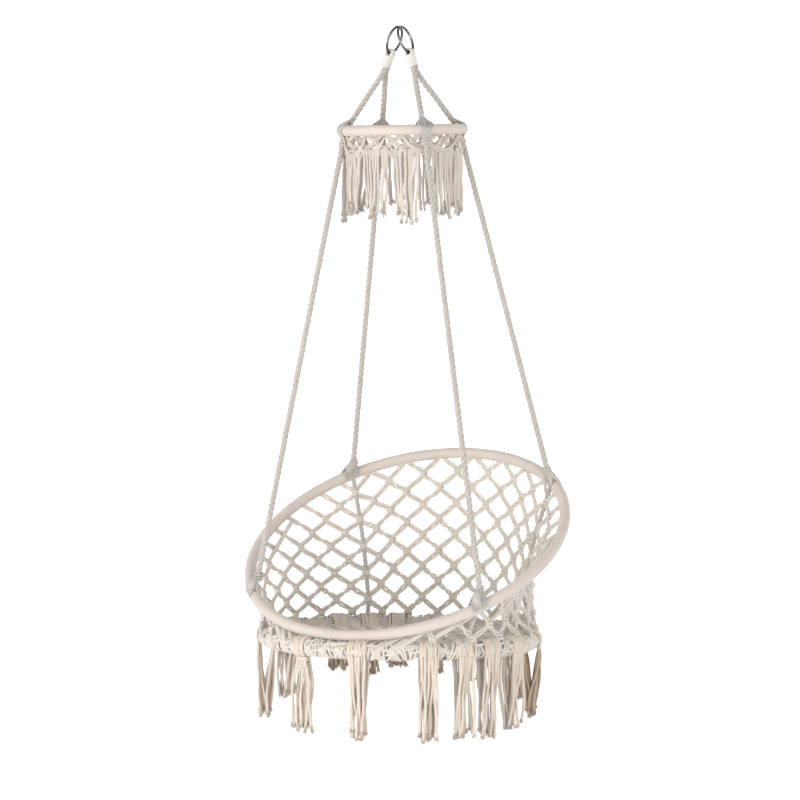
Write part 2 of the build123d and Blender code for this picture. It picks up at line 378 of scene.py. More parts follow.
def cotton(name, light, deep, lay, ridge_depth):
    """Natural cotton cord: plied ridges that climb round the cord, fine fibres and uneven tone."""
    material, tree, shader = new_material(name)
    uv = tree.nodes.new("ShaderNodeUVMap")
    uv.uv_map = "cord"
    split = tree.nodes.new("ShaderNodeSeparateXYZ")
    tree.links.new(uv.outputs["UV"], split.inputs["Vector"])
    place_in = tree.nodes.new("ShaderNodeTexCoord").outputs["Object"]
    plies = arithmetic(tree, "MULTIPLY", split.outputs["X"], 2.0)
    climb = arithmetic(tree, "MULTIPLY", split.outputs["Y"], 1 / lay)
    phase = arithmetic(tree, "MULTIPLY", arithmetic(tree, "ADD", plies, climb), 2 * math.pi)
    ridge = arithmetic(tree, "SINE", phase, 0.0)
    ridge = arithmetic(tree, "ABSOLUTE", ridge, 0.0)
    broad = noise(tree, place_in, 26.0, 2.0)
    fine = noise(tree, place_in, 900.0, 3.0)
    tone = mixed(tree, broad, deep, light)
    shadow = tuple(0.80 * channel for channel in deep)
    groove = arithmetic(tree, "POWER", ridge, 0.5)
    tone = mixed(tree, groove, shadow, tone)
    speckle = tuple(0.86 * channel for channel in deep)
    fleck = arithmetic(tree, "GREATER_THAN", fine, 0.66)
    tone = mixed(tree, arithmetic(tree, "MULTIPLY", fleck, 0.35), tone, speckle)
    tree.links.new(tone, shader.inputs["Base Color"])
    height = arithmetic(tree, "ADD", ridge, arithmetic(tree, "MULTIPLY", fine, 0.6))
    bump = tree.nodes.new("ShaderNodeBump")
    bump.inputs["Strength"].default_value = 0.8
    bump.inputs["Distance"].default_value = ridge_depth
    tree.links.new(height, bump.inputs["Height"])
    tree.links.new(bump.outputs["Normal"], shader.inputs["Normal"])
    rough = arithmetic(tree, "MULTIPLY_ADD", fine, 0.16)
    rough.node.inputs[2].default_value = 0.80
    tree.links.new(rough, shader.inputs["Roughness"])
    shader.inputs["Sheen Weight"].default_value = 0.25
    shader.inputs["Sheen Roughness"].default_value = 0.5
    shader.inputs["Specular IOR Level"].default_value = 0.25
    return material


def metal(name, light, dark, roughness, scratch):
    """Polished or brushed steel, with fine wear in its gloss and a painted reflection: its colour darkens
    towards grazing angles round a brighter centre.
    """
    material, tree, shader = new_material(name)
    place_in = tree.nodes.new("ShaderNodeTexCoord").outputs["Object"]
    wear = noise(tree, place_in, 140.0, 4.0)
    grain = noise(tree, place_in, 1600.0, 2.0)
    # painted reflection: towards grazing angles the colour fades to near black, as if a dark room were
    # mirrored at the steel's edges
    facing = tree.nodes.new("ShaderNodeLayerWeight").outputs["Facing"]
    edge = arithmetic(tree, "POWER", facing, 0.45)
    worn = mixed(tree, wear, dark, light)
    painted_reflection_dark = tuple(0.12 * channel for channel in dark)
    tree.links.new(mixed(tree, edge, worn, painted_reflection_dark), shader.inputs["Base Color"])
    rough = arithmetic(tree, "MULTIPLY_ADD", wear, scratch)
    rough.node.inputs[2].default_value = roughness
    tree.links.new(rough, shader.inputs["Roughness"])
    bump = tree.nodes.new("ShaderNodeBump")
    bump.inputs["Strength"].default_value = 0.15
    bump.inputs["Distance"].default_value = 0.0001
    tree.links.new(grain, bump.inputs["Height"])
    tree.links.new(bump.outputs["Normal"], shader.inputs["Normal"])
    shader.inputs["Metallic"].default_value = 1.0
    return material


rope_cotton = cotton("rope_cotton", (0.475, 0.445, 0.41), (0.39, 0.36, 0.325), 0.009, 0.0006)
wrap_cotton = cotton("wrap_cotton", (0.575, 0.508, 0.46), (0.505, 0.445, 0.40), 0.006, 0.0003)
net_cotton = cotton("net_cotton", (0.62, 0.575, 0.52), (0.53, 0.475, 0.415), 0.007, 0.0004)
band_cotton = cotton("band_cotton", (0.58, 0.53, 0.475), (0.49, 0.43, 0.375), 0.006, 0.0004)
tassel_cotton = cotton("tassel_cotton", (0.63, 0.565, 0.495), (0.53, 0.455, 0.38), 0.010, 0.0005)
# painted shade: a darker, browner copy of the tassel cotton for the hanging strings of the rear tassels
painted_shade_tassel_cotton = cotton("painted_shade_tassel_cotton", (0.43, 0.34, 0.26), (0.32, 0.24, 0.17), 0.010, 0.0005)
binding_cotton = cotton("binding_cotton", (0.68, 0.65, 0.61), (0.60, 0.565, 0.52), 0.006, 0.0003)
ring_steel = metal("ring_steel", (0.36, 0.35, 0.34), (0.18, 0.175, 0.17), 0.16, 0.18)
hoop_steel = metal("hoop_steel", (0.56, 0.56, 0.57), (0.44, 0.44, 0.45), 0.34, 0.20)

for node in ("ring_left", "ring_right", "spreader_hoop_steel", "back_hoop_steel", "seat_hoop_steel"):
    steel = ring_steel if node.startswith("ring") else hoop_steel
    frame["nodes"][node].data.materials.clear()
    frame["nodes"][node].data.materials.append(steel)


# ---- camera, floor and light


def make_camera():
    turn, lift = math.radians(CAMERA_AZIMUTH), math.radians(CAMERA_ELEVATION)
    towards = np.array([
        math.sin(turn) * math.cos(lift),
        -math.cos(turn) * math.cos(lift),
        math.sin(lift),
    ])
    right = unit(np.cross(np.array([0, 0, 1.0]), towards))
    upright = np.cross(towards, right)
    data = bpy.data.cameras.new("camera")
    data.lens = CAMERA_LENS
    data.clip_end = 60.0
    camera = bpy.data.objects.new("camera", data)
    camera.location = towards * CAMERA_DISTANCE - upright * CAMERA_DROP
    camera.rotation_euler = (math.pi / 2 - lift, 0, turn)
    bpy.context.scene.collection.objects.link(camera)
    bpy.context.scene.camera = camera


def make_floor():
    """A pale floor that curves up into a pale backdrop all round."""
    material, tree, shader = new_material("studio_floor")
    place_in = tree.nodes.new("ShaderNodeTexCoord").outputs["Object"]
    cloud = noise(tree, place_in, 0.8, 1.0)
    tree.links.new(mixed(tree, cloud, (0.90, 0.90, 0.90), (0.94, 0.94, 0.94)), shader.inputs["Base Color"])
    shader.inputs["Roughness"].default_value = 0.9
    shader.inputs["Emission Color"].default_value = (1.0, 1.0, 1.0, 1)
    shader.inputs["Emission Strength"].default_value = FLOOR_GLOW
    rings, flat_rings, bent_rings, sides = 40, 20, 12, 96
    bend_start = flat_rings - 1
    bend_end = bend_start + bent_rings
    points = []
    for ring in range(rings):
        if ring < flat_rings:
            reach, height = 0.02 + FLOOR_REACH * ring / bend_start, 0.0
        else:
            bend = math.pi / 2 * min(1.0, (ring - bend_start) / bent_rings)
            reach = FLOOR_REACH + FLOOR_BEND * math.sin(bend)
            height = FLOOR_BEND * (1 - math.cos(bend)) + max(0, ring - bend_end) * 0.9
        for side in range(sides):
            turn = 2 * math.pi * side / sides
            points.append((reach * math.sin(turn), reach * math.cos(turn), FLOOR_HEIGHT + height))
    corners = []
    for ring in range(rings - 1):
        for side in range(sides):
            beside = (side + 1) % sides
            low, high = ring * sides, (ring + 1) * sides
            corners.append((low + side, low + beside, high + beside, high + side))
    quads = np.array(corners)
    middle = np.array([(0, side + 1, side) for side in range(1, sides - 1)])
    uvs = np.zeros((quads.size + middle.size, 2))
    floor = mesh_object("studio_floor", material, np.array(points), quads, middle, uvs)


def make_light(name, place_at, size, power, aim):
    data = bpy.data.lights.new(name, "AREA")
    data.shape = "DISK"
    data.size = size
    data.energy = power
    light = bpy.data.objects.new(name, data)
    light.location = place_at
    direction = np.array(place_at) - np.array(aim)
    light.rotation_euler = (
        math.acos(direction[2] / np.linalg.norm(direction)),
        0,
        math.atan2(direction[0], -direction[1]),
    )
    bpy.context.scene.collection.objects.link(light)


def make_room():
    world = bpy.data.worlds.new("studio")
    world.use_nodes = True
    background = world.node_tree.nodes["Background"]
    background.inputs["Color"].default_value = (1.0, 1.0, 1.0, 1)
    background.inputs["Strength"].default_value = ROOM_GLOW
    bpy.context.scene.world = world
    bpy.context.scene.view_settings.view_transform = "Standard"
    middle = (0, 0, -1.0)
    make_light("key_light", (-2.2, -5.2, -1.4), 1.6, 150, middle)
    make_light("fill_light", (4.4, -4.4, -1.0), 2.4, 110, middle)


make_camera()
make_room()


# ---- wound hoops


def wobble(count, size, coarse):
    """Smooth random variation along a closed line, as an array."""
    places = np.array([random.uniform(-1, 1) for _ in range(coarse)])
    at = np.arange(count) * coarse / count
    low = np.floor(at).astype(int)
    share = at - low
    share = share * share * (3 - 2 * share)
    return size * (places[low % coarse] * (1 - share) + places[(low + 1) % coarse] * share)


def wound_hoop(name, hoop, body, *nodes):
    """A hoop under tightly wound cord: every turn of the cord is a ridge on a helix."""
    turns = round(2 * math.pi * hoop.radius / WRAP_PITCH)
    rings = turns * WRAP_RINGS_PER_TURN
    turn_of_ring = np.arange(rings) / WRAP_RINGS_PER_TURN
    ring, side = np.meshgrid(np.arange(rings), np.arange(WRAP_SIDES), indexing="ij")
    place_on = (ring + WRAP_RINGS_PER_TURN * side / WRAP_SIDES) / rings
    angle = 2 * math.pi * place_on
    theta = 2 * math.pi * side / WRAP_SIDES
    phase = (turn_of_ring % 1.0)[:, None]
    uneven = wobble(rings, 0.00022, turns)[:, None] + wobble(rings, 0.00035, 60)[:, None]
    reach = hoop.tube - WRAP_RIDGE * (0.5 + 0.5 * np.cos(2 * math.pi * phase)) + uneven
    reach = np.broadcast_to(reach, angle.shape)
    radial = np.sin(angle)[..., None] * hoop.side - np.cos(angle)[..., None] * hoop.ahead
    points = hoop.centre + (hoop.radius + reach * np.cos(theta))[..., None] * radial
    points = points + (reach * np.sin(theta))[..., None] * hoop.normal
    low = np.arange(rings)[:, None] * WRAP_SIDES + np.arange(WRAP_SIDES)[None, :]
    beside = np.roll(low, -1, axis=1)
    beside[:, -1] = np.roll(low, -WRAP_RINGS_PER_TURN, axis=0)[:, 0]
    high = np.roll(low, -1, axis=0)
    high_beside = np.roll(beside, -1, axis=0)
    quads = np.stack([low, high, high_beside, beside], -1).reshape(-1, 4)
    ply = turn_of_ring[:, None] / 2 + 0 * theta
    step = 1 / (2 * WRAP_RINGS_PER_TURN)
    cord = theta * hoop.tube
    reach_on = 2 * math.pi * hoop.tube / WRAP_SIDES
    corners = ((0, 0), (step, 0), (step, reach_on), (0, reach_on))
    uvs = [np.stack([ply + du, cord + dv], -1) for du, dv in corners]
    uvs = np.stack(uvs, 2).reshape(-1, 2)
    piece = mesh_object(name, wrap_cotton, points.reshape(-1, 3), quads, np.zeros((0, 3), int), uvs)
    return place(piece, body, "cotton_wrap", *nodes)


wound_hoop("spreader_hoop_winding", spreader, "harness", "spreader_hoop_wrap")
wound_hoop("back_hoop_winding", back, "harness", "back_hoop_wrap")
wound_hoop("seat_hoop_winding", seat, "seat", "seat_hoop_wrap")


# ---- ropes, knots and bindings


def lay_rope(mesh, path, radius, pitch, sides=8):
    """Three strands twisted round each other along a path."""
    path = evenly(path, pitch / 16)
    across, beside = path_frames(path)
    turns = path_lengths(path) / pitch
    strand = 0.50 * radius
    for ply in range(3):
        turn = 2 * math.pi * (turns + ply / 3)
        offset = np.cos(turn)[:, None] * across + np.sin(turn)[:, None] * beside
        slack = strand * (1 + 0.03 * np.sin(9.7 * turns + 2.1 * ply))
        mesh.tube(path + (radius - strand) * offset, slack, sides)


def tie_cords(mesh, hoop, angle, above, below, spread, count, cord):
    """A rope's cords where they cross a hoop: they fan out over it and gather again below."""
    grip = hoop.tube + 0.8 * cord
    for face in (-1, 1):
        for k in range(count):
            share = 2 * k / (count - 1) - 1
            reach = angle + math.degrees(spread * share / hoop.radius)
            crossing = angle + math.degrees(0.55 * spread * share / hoop.radius)
            start = above + 0.25 * spread * share * hoop.along(angle)
            end = below + 0.25 * spread * share * hoop.along(angle)
            lift = grip + cord * random.uniform(0.0, 0.6)
            top = hoop.around(reach, 90 - face * 40, lift)
            flank = hoop.around(crossing, 90 - face * 94, lift + 0.3 * cord)
            under = hoop.around(crossing, -90 + face * 40, lift)
            way = [start, start * 0.45 + top * 0.55, top, flank, under, under * 0.4 + end * 0.6, end]
            mesh.cord(smooth(way, 5), cord)


def fan_cords(mesh, hoop, angle, above, spread, count, cord):
    """A rope's cords where they end on a hoop: a fan that goes in under the wound cord."""
    for face in (-1, 1):
        for k in range(count):
            share = 2 * k / (count - 1) - 1
            reach = angle + math.degrees(spread * share / hoop.radius)
            start = above + 0.30 * spread * share * hoop.along(angle)
            lift = hoop.tube + cord * random.uniform(0.5, 1.1)
            top = hoop.around(reach, 90 - face * 28, lift)
            flank = hoop.around(reach, 90 - face * 62, hoop.tube + 0.5 * cord)
            inside = hoop.around(reach, 90 - face * 88, hoop.tube - 0.6 * cord)
            way = [start, start * 0.5 + top * 0.5 + 0.002 * hoop.normal, top, flank, inside]
            mesh.cord(smooth(way, 5), cord)
    core = [above, hoop.around(angle, 90, hoop.tube + 0.008), hoop.around(angle, 90, hoop.tube - 0.004)]
    mesh.tube(np.array(core), (0.006, 0.011, 0.013), 10)


def collar(mesh, centre, direction, radius, turns, cord):
    """A few turns of cord round a rope."""
    direction = unit(direction)
    across = unit(np.cross(direction, [0.3, 0.9, 0.1]))
    beside = np.cross(direction, across)
    steps = turns * 14
    turn = np.linspace(0, 2 * math.pi * turns, steps)
    climb = np.linspace(-0.5, 0.5, steps) * turns * cord * 1.9
    ring = radius * (np.cos(turn)[:, None] * across + np.sin(turn)[:, None] * beside)
    mesh.tube(centre + ring + climb[:, None] * direction, cord, 6)


def make_rope(corner):
    """One of the four ropes, with its two hoop knots and the rope that runs on down the net."""
    upper_end = nearest_end("upper_rope_" + corner)
    main_top, main_bottom = rope_ends("main_rope_" + corner)
    lower_top, _ = rope_ends("lower_rope_" + corner)
    spreader_angle = angle_on(spreader, (upper_end + main_top) / 2)
    back_angle = angle_on(back, (main_bottom + lower_top) / 2)
    main_bottom = main_bottom - back.outward(back_angle) * ROPE_INSET

    rope = CordMesh()
    start, bend = rope_starts(corner)
    upper_path = smooth([start, bend, bend * 0.5 + upper_end * 0.5, upper_end], 12)
    lay_rope(rope, upper_path, ROPE_RADIUS, ROPE_PITCH)
    lay_rope(rope, np.array([main_top, main_bottom]), ROPE_RADIUS, ROPE_PITCH)
    place(
        rope.object("rope_" + corner, rope_cotton),
        "harness",
        "cotton_rope",
        "upper_rope_" + corner,
        "main_rope_" + corner,
    )

    top_knot = CordMesh()
    above = upper_end + 0.012 * unit(upper_end - main_top)
    below = main_top - np.array([0, 0, 0.006])
    tie_cords(top_knot, spreader, spreader_angle, above, below, 0.017, 6, KNOT_CORD)
    collar(top_knot, below - [0, 0, 0.004], upper_end - main_top, ROPE_RADIUS + 0.001, 2, NET_CORD)
    knot = top_knot.object("spreader_knot_" + corner, rope_cotton)
    place(knot, "harness", "cotton_rope", "spreader_knots")

    low_knot = CordMesh()
    above = main_bottom + 0.012 * unit(main_top - main_bottom)
    fan_cords(low_knot, back, back_angle, above, 0.018, 7, KNOT_CORD)
    collar(low_knot, above - [0, 0, 0.004], main_top - main_bottom, ROPE_RADIUS + 0.001, 3, NET_CORD)
    knot = low_knot.object("back_knot_" + corner, rope_cotton)
    place(knot, "harness", "cotton_rope", "back_knots")

    lower = CordMesh()
    span = net_span(back_angle)[2]
    way = [back.around(back_angle, 215, back.tube - 0.002)]
    way += [net_point(back_angle, span * share) for share in (0.88, 0.7, 0.5, 0.3, 0.14)]
    seat_angle = angle_on(seat, way[-1])
    way.append(seat.around(seat_angle, 20, seat.tube + LOWER_ROPE_RADIUS))
    way.append(seat.around(seat_angle, -45, seat.tube + LOWER_ROPE_RADIUS))
    lay_rope(lower, smooth(way, 6), LOWER_ROPE_RADIUS, LOWER_ROPE_PITCH)
    piece = lower.object("lower_rope_cords_" + corner, rope_cotton)
    bend_between_hoops(piece, "cotton_rope", "lower_rope_" + corner)


def nearest_end(node):
    """The lower end of a rope that bends at its top."""
    points = node_points(node)
    low = points[points[:, 2] < points[:, 2].min() + 0.012]
    return low.mean(0)


def binding_lie(side):
    """A binding's middle, the way it points down, the way across it and half its length."""
    points = node_points("binding_" + side)
    middle = points.mean(0)
    lean = math.radians(BINDING_LEAN) * (1 if side == "right" else -1)
    down = np.array([math.sin(lean), 0, -math.cos(lean)])
    across = np.array([math.cos(lean), 0, math.sin(lean)])
    return middle, down, across, ((points - middle) @ down).max()


def rope_starts(corner):
    """Where a rope leaves its binding, and a point on its first straight stretch."""
    middle, down, _, reach = binding_lie(corner.split("_")[1])
    facing = -1 if corner.startswith("front") else 1
    start = middle - down * 0.006 + np.array([0, facing * 0.0066, 0])
    bend = middle + down * (reach + 0.008) + np.array([0, facing * 0.0090, 0])
    return start, bend


def make_eye(side):
    """The rope loop through a ring, and the white binding that closes it."""
    eye_low, eye_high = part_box("rope_eye_" + side)
    centre = np.array((eye_low + eye_high) / 2)
    middle, down, across, reach = binding_lie(side)
    eye = CordMesh()
    for shift in (-0.0066, -0.0022, 0.0022, 0.0066):
        row = np.array([0, shift, 0])
        way = [
            middle + across * 0.003 + row,
            centre + down * 0.011 + across * 0.0062 + row,
            centre + across * 0.0078 + row,
            centre - down * 0.0072 + row * 0.8,
            centre - across * 0.0078 + row,
            centre + down * 0.011 - across * 0.0062 + row,
            middle - across * 0.003 + row,
        ]
        lay_rope(eye, smooth(way, 6), 0.0032, 0.018, 6)
    piece = eye.object("rope_eye_cords_" + side, binding_cotton)
    place(piece, "harness", "cotton_rope", "rope_eye_" + side)

    binding = CordMesh()
    start = centre + down * 0.0075
    end = middle + down * (reach - 0.010)
    steps = BINDING_TURNS * 26
    turn = np.linspace(0, 2 * math.pi * BINDING_TURNS, steps)
    share = np.linspace(0, 1, steps)[:, None]
    width = 0.0108 + 0.0030 * share
    depth = 0.0088 - 0.0006 * share
    ring = np.cos(turn)[:, None] * width * np.array([0, 1.0, 0])
    ring = ring + np.sin(turn)[:, None] * depth * across
    binding.tube(start * (1 - share) + end * share + ring, 0.0021, 7)
    piece = binding.object("binding_winding_" + side, binding_cotton)
    place(piece, "harness", "cotton_rope", "binding_" + side)


# ---- the diamond net


def net_columns():
    """The angle of every net column, from the left front rope round the back and the front."""
    spans = (
        (-FRONT_TIE, -BACK_TIE, NET_SIDE_COLUMNS, 0.0),
        (-BACK_TIE, BACK_TIE - 360, NET_BACK_COLUMNS, -2.2),
        (BACK_TIE - 360, FRONT_TIE - 360, NET_SIDE_COLUMNS, 0.0),
        (FRONT_TIE - 360, -FRONT_TIE - 360, NET_FRONT_COLUMNS, 0.0),
    )
    columns = []
    for first, last, count, drift in spans:
        for k in range(count):
            share = k / count
            columns.append(first + (last - first) * share + drift * math.sin(math.pi * share))
    return columns


COLUMNS = net_columns()


def column_angle(index):
    turns, place_in = divmod(index, len(COLUMNS))
    return COLUMNS[place_in] - 360.0 * turns


def net_span(angle):
    """The net's lower edge, its upper edge under the back hoop, and the height between them."""
    lower = seat.point(angle) + seat.outward(angle) * NET_OFFSET
    upper = back.around(angle, 228, back.tube - 0.002)
    return lower, upper, upper[2] - lower[2]


def hoop_gap(angle):
    """The height between the two hoops' centre lines at an angle."""
    return back.point(angle)[2] - seat.point(angle)[2]


def net_point(angle, height):
    """A point on the net, at a height above the seat hoop. Its sides are drawn in and lean back."""
    from_back = abs(math.remainder(angle - 180, 360))
    share = height / net_span(angle)[2]
    beside = smoothstep((from_back - 14) / 36)
    front = smoothstep((150 - from_back) / 25)
    lean = -math.copysign(NET_LEAN, math.remainder(angle, 360)) * (1 - share) * beside * front
    lower, upper, span = net_span(angle - lean)
    along_side = max(0.0, min(1.0, (math.remainder(angle, 360) - FRONT_TIE) / (BACK_TIE - FRONT_TIE)))
    waist = NET_WAIST * (0.15 + 0.85 * beside) * min(1.0, span / 0.2)
    waist += NET_RIGHT_WAIST * math.sin(math.pi * along_side) ** 2
    inward = waist * math.sin(math.pi * max(0.0, min(1.0, share)))
    return lower + (upper - lower) * (height / span) - outward_at(angle) * inward


def smoothstep(share):
    share = max(0.0, min(1.0, share))
    return share * share * (3 - 2 * share)


def row_height(index, row):
    step = max(NET_ROW, (hoop_gap(column_angle(index)) - NET_BASE - NET_TOP_GAP) / NET_BACK_ROWS)
    return NET_BASE + step * row


def bend_between_hoops(piece, slot, *nodes):
    """Bakes a piece's transform into its mesh and hides the imported nodes it stands for."""
    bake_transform(piece)
    points = mesh_points(piece)
    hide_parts(*nodes)


# one square knot, in its own plane: x across the net, y up it and z out of it, in cord radii
FRONT_CORD = (
    (-3.0, 3.0, 0.0),
    (-2.4, 1.8, 0.9),
    (-0.6, 1.3, 1.9),
    (1.6, 0.9, 1.6),
    (2.7, 0.2, 0.3),
    (2.7, -0.4, 0.3),
    (1.6, -1.0, 1.6),
    (-0.6, -1.4, 1.9),
    (-2.4, -1.8, 0.9),
    (-3.0, -3.0, 0.0),
)
REAR_CORD = (
    (3.0, 3.0, 0.0),
    (2.6, 1.8, 0.8),
    (1.5, 1.2, -1.3),
    (-0.8, 0.9, -1.8),
    (-2.5, 0.6, -0.4),
    (-2.7, 0.0, 1.2),
    (-2.5, -0.6, -0.4),
    (-0.8, -1.0, -1.8),
    (1.5, -1.4, -1.3),
    (2.6, -1.9, 0.8),
    (3.0, -3.0, 0.0),
)


def square_knot(mesh, centre, across, upright, cord, size=1.0):
    """Two cords tied in a square knot round the two that run through it."""
    out = unit(np.cross(across, upright))
    tilt = random.uniform(-0.10, 0.10)
    side = unit(across * math.cos(tilt) + upright * math.sin(tilt))
    rise = unit(np.cross(out, side))
    scale = size * cord * random.uniform(0.92, 1.06)
    mirror = random.choice((-1, 1))
    for shape in (FRONT_CORD, REAR_CORD):
        way = [centre + scale * (x * mirror * side + y * rise + z * out) for x, y, z in shape]
        mesh.tube(smooth(way, 3), cord * random.uniform(0.92, 1.02), 6)
    for x in (-0.55, 0.55):
        core = [centre + scale * (x * side + y * rise) for y in (2.2, 0, -2.2)]
        mesh.tube(smooth(core, 2), cord, 5)


def doubled_cord(mesh, start, end, out, cord, gap, bow=0.0, strands=2):
    """Cords side by side from one knot to the next, drawn together where they enter a knot."""
    beside = unit(np.cross(end - start, out))
    down = np.array([0, 0, -1.0])
    swap_over = random.choice((-1, 1)) if strands == 2 and random.random() < 0.35 else 0
    for k in range(strands):
        shift = gap * (k - (strands - 1) / 2)
        slack = random.uniform(-0.0009, 0.0009)
        far = -shift if swap_over else shift
        rise = swap_over * (1 if k else -1) * 0.4 * cord * out
        way = [
            start + 0.6 * shift * beside,
            start * 0.7 + end * 0.3 + (shift + slack) * beside + 0.7 * bow * down,
            start * 0.5 + end * 0.5 + (shift + far) * 0.5 * beside + bow * down + rise,
            start * 0.3 + end * 0.7 + (far - slack) * beside + 0.7 * bow * down,
            end + 0.6 * far * beside,
        ]
        mesh.cord(smooth(way, 3), cord * random.uniform(0.93, 1.06))


def outward_at(angle):
    turn = math.radians(angle)
    return np.array([math.sin(turn), -math.cos(turn), 0])


def net_knots(first, last):
    """The net's knots between two columns, as (column, row) pairs."""
    knots = []
    for index in range(first, last):
        row = index % 2
        while row_height(index, row) < hoop_gap(column_angle(index)) - NET_KNOT_GAP:
            knots.append((index, row))
            row += 2
    return knots


def make_net(name, first, last, *nodes):
    """A part of the net wall: square knots on a diamond pattern, tied to both hoops."""
    mesh = CordMesh()
    knots = set(net_knots(first - 1, last + 1))
    for index, row in sorted(knots):
        if not first <= index < last:
            continue
        angle = column_angle(index)
        height = row_height(index, row)
        here = net_point(angle, height)
        out = outward_at(angle)
        across = np.cross(np.array([0, 0, 1.0]), out)
        upright = unit(net_point(angle, height + 0.01) - here)
        square_knot(mesh, here, across, upright, NET_CORD, KNOT_SIZE)
        top = here + upright * NET_CORD * 1.2
        foot = here - upright * NET_CORD * 1.2
        for step in (-1, 1):
            beyond = column_angle(index + step)
            if (index + step, row + 1) in knots:
                end = net_point(beyond, row_height(index + step, row + 1))
                end = end - upright * NET_CORD * 1.2
                doubled_cord(mesh, top, end, out, NET_CORD, NET_PAIR, 0.0008)
            else:
                end = hoop_meeting(angle, height, beyond, row_height(index + step, row + 1))
                doubled_cord(mesh, top, end, out, NET_CORD, NET_PAIR)
        if row == 0:
            tie_to_seat(mesh, angle, foot)
        elif row == 1:
            for step in (-1, 1):
                if (index + step, 0) not in knots:
                    tie_to_seat(mesh, column_angle(index + step), foot)
    lace_front(mesh, first, last, knots)
    piece = mesh.object(name, net_cotton)
    bend_between_hoops(piece, "cotton_net", *nodes)
    return piece


def hoop_meeting(angle, height, beyond, beyond_height):
    """Where a line of the net that runs on past a knot goes in under the back hoop's cord."""
    for step in range(1, 60):
        share = step / 20
        there = angle + (beyond - angle) * share
        rise = height + (beyond_height - height) * share
        if rise > net_span(there)[2] - 0.001:
            break
    return net_point(there, rise)


def tie_to_seat(mesh, angle, foot):
    """The last doubled cords of the net, round the outside of the seat hoop and under it."""
    for shift in (-2.6, -0.9, 0.9, 2.6):
        reach = angle + shift * 0.42
        grip = seat.tube + NET_CORD
        way = [
            foot + seat.along(angle) * NET_CORD * shift * 0.5,
            seat.around(reach, 28, grip + 0.002),
            seat.around(reach, -8, grip),
            seat.around(reach, -50, grip),
            seat.around(reach, -95, grip - 0.002),
            seat.around(reach, -130, seat.tube - 0.001),
        ]
        mesh.tube(smooth(way, 4), NET_CORD * random.uniform(0.93, 1.04), 6)


def lace_front(mesh, first, last, knots):
    """Crossed lacing at the front, where the hoops are too close together for a knot."""
    for index in range(first, last):
        if (index, 0) in knots or (index, 1) in knots:
            continue
        for step in (-1, 1):
            if (index + step, 0) in knots or (index + step, 1) in knots:
                continue
            for shift in (-0.9, -0.1, 0.7):
                top = column_angle(index) + shift + random.uniform(-0.4, 0.4)
                low = top + 0.75 * (column_angle(index + step) - column_angle(index))
                grip = NET_CORD * random.uniform(0.8, 1.8)
                way = [
                    back.around(top, -150, back.tube - 0.002),
                    back.around(top, -100, back.tube + NET_CORD),
                    back.around((2 * top + low) / 3, -58, back.tube + grip),
                    seat.around((top + low) / 2, 20, seat.tube + grip + 0.001),
                    seat.around((top + 3 * low) / 4, -25, seat.tube + grip),
                    seat.around(low, -75, seat.tube + grip),
                    seat.around(low, -125, seat.tube - 0.002),
                ]
                mesh.cord(smooth(way, 4), NET_CORD)


def lash_seat_hoop():
    """The loops of cord that hold the net round the outside of the seat hoop."""
    mesh = CordMesh()
    for k in range(SEAT_LASHINGS):
        angle = 360.0 * k / SEAT_LASHINGS + random.uniform(-0.5, 0.5)
        slant = random.choice((-1, 1)) * random.uniform(0.3, 2.2)
        grip = seat.tube + NET_CORD * random.uniform(0.5, 1.5)
        way = [seat.around(angle - slant, 118, seat.tube - 0.002)]
        for turn in (90, 50, 10, -30, -70, -105):
            way.append(seat.around(angle - slant * turn / 90, turn, grip))
        way.append(seat.around(angle + slant * 1.3, -135, seat.tube - 0.002))
        mesh.cord(smooth(way, 3), NET_CORD * random.uniform(0.85, 1.1))
    for k in range(SEAT_SPANS):
        first = 360.0 * k / SEAT_SPANS + random.uniform(-2, 2)
        fall = random.choice((-1, 1)) * random.uniform(18, 46)
        middle = random.uniform(-20, 50)
        way = []
        for share in (0, 0.25, 0.5, 0.75, 1):
            lift = seat.tube + NET_CORD * (1.8 * math.sin(math.pi * share) ** 0.5 - 0.4)
            way.append(seat.around(first + 9 * share, middle + fall * (share - 0.5), lift))
        mesh.cord(smooth(way, 4), NET_CORD * random.uniform(0.8, 1.1))
    return place(mesh.object("seat_hoop_lashing", net_cotton), "seat", "cotton_net")


def make_seat_net():
    """The netted seat: square knots on a diamond pattern across the seat hoop, a little slack."""
    mesh = CordMesh()
    inside = seat.radius - seat.tube - 0.016
    count = int(seat.radius / SEAT_CELL) + 2

    def spot(column, row):
        x, y = column * SEAT_CELL, row * SEAT_CELL
        reach = math.hypot(x, y) / seat.radius
        sink = SEAT_SAG * (1 - min(1.0, reach) ** 2)
        return seat.centre + x * seat.side + y * seat.ahead - sink * seat.normal

    def is_inside(column, row):
        return math.hypot(column, row) * SEAT_CELL < inside

    for column in range(-count, count + 1):
        for row in range(-count, count + 1):
            if (column + row) % 2 or not is_inside(column, row):
                continue
            here = spot(column, row)
            square_knot(mesh, here, seat.side, seat.ahead, NET_CORD, KNOT_SIZE)
            for side in (-1, 1):
                for ahead in (-1, 1):
                    beyond = spot(column + side, row + ahead)
                    toward = unit(beyond - here)
                    start = here + ahead * seat.ahead * NET_CORD * 1.2
                    if is_inside(column + side, row + ahead):
                        if ahead > 0:
                            end = beyond - seat.ahead * NET_CORD * 1.2
                            doubled_cord(mesh, start, end, seat.normal, NET_CORD, NET_PAIR)
                    else:
                        end = rim_meeting(here, toward)
                        doubled_cord(mesh, start, end, seat.normal, NET_CORD, NET_PAIR)
    return place(mesh.object("seat_net_cords", net_cotton), "seat", "cotton_net", "seat_net")


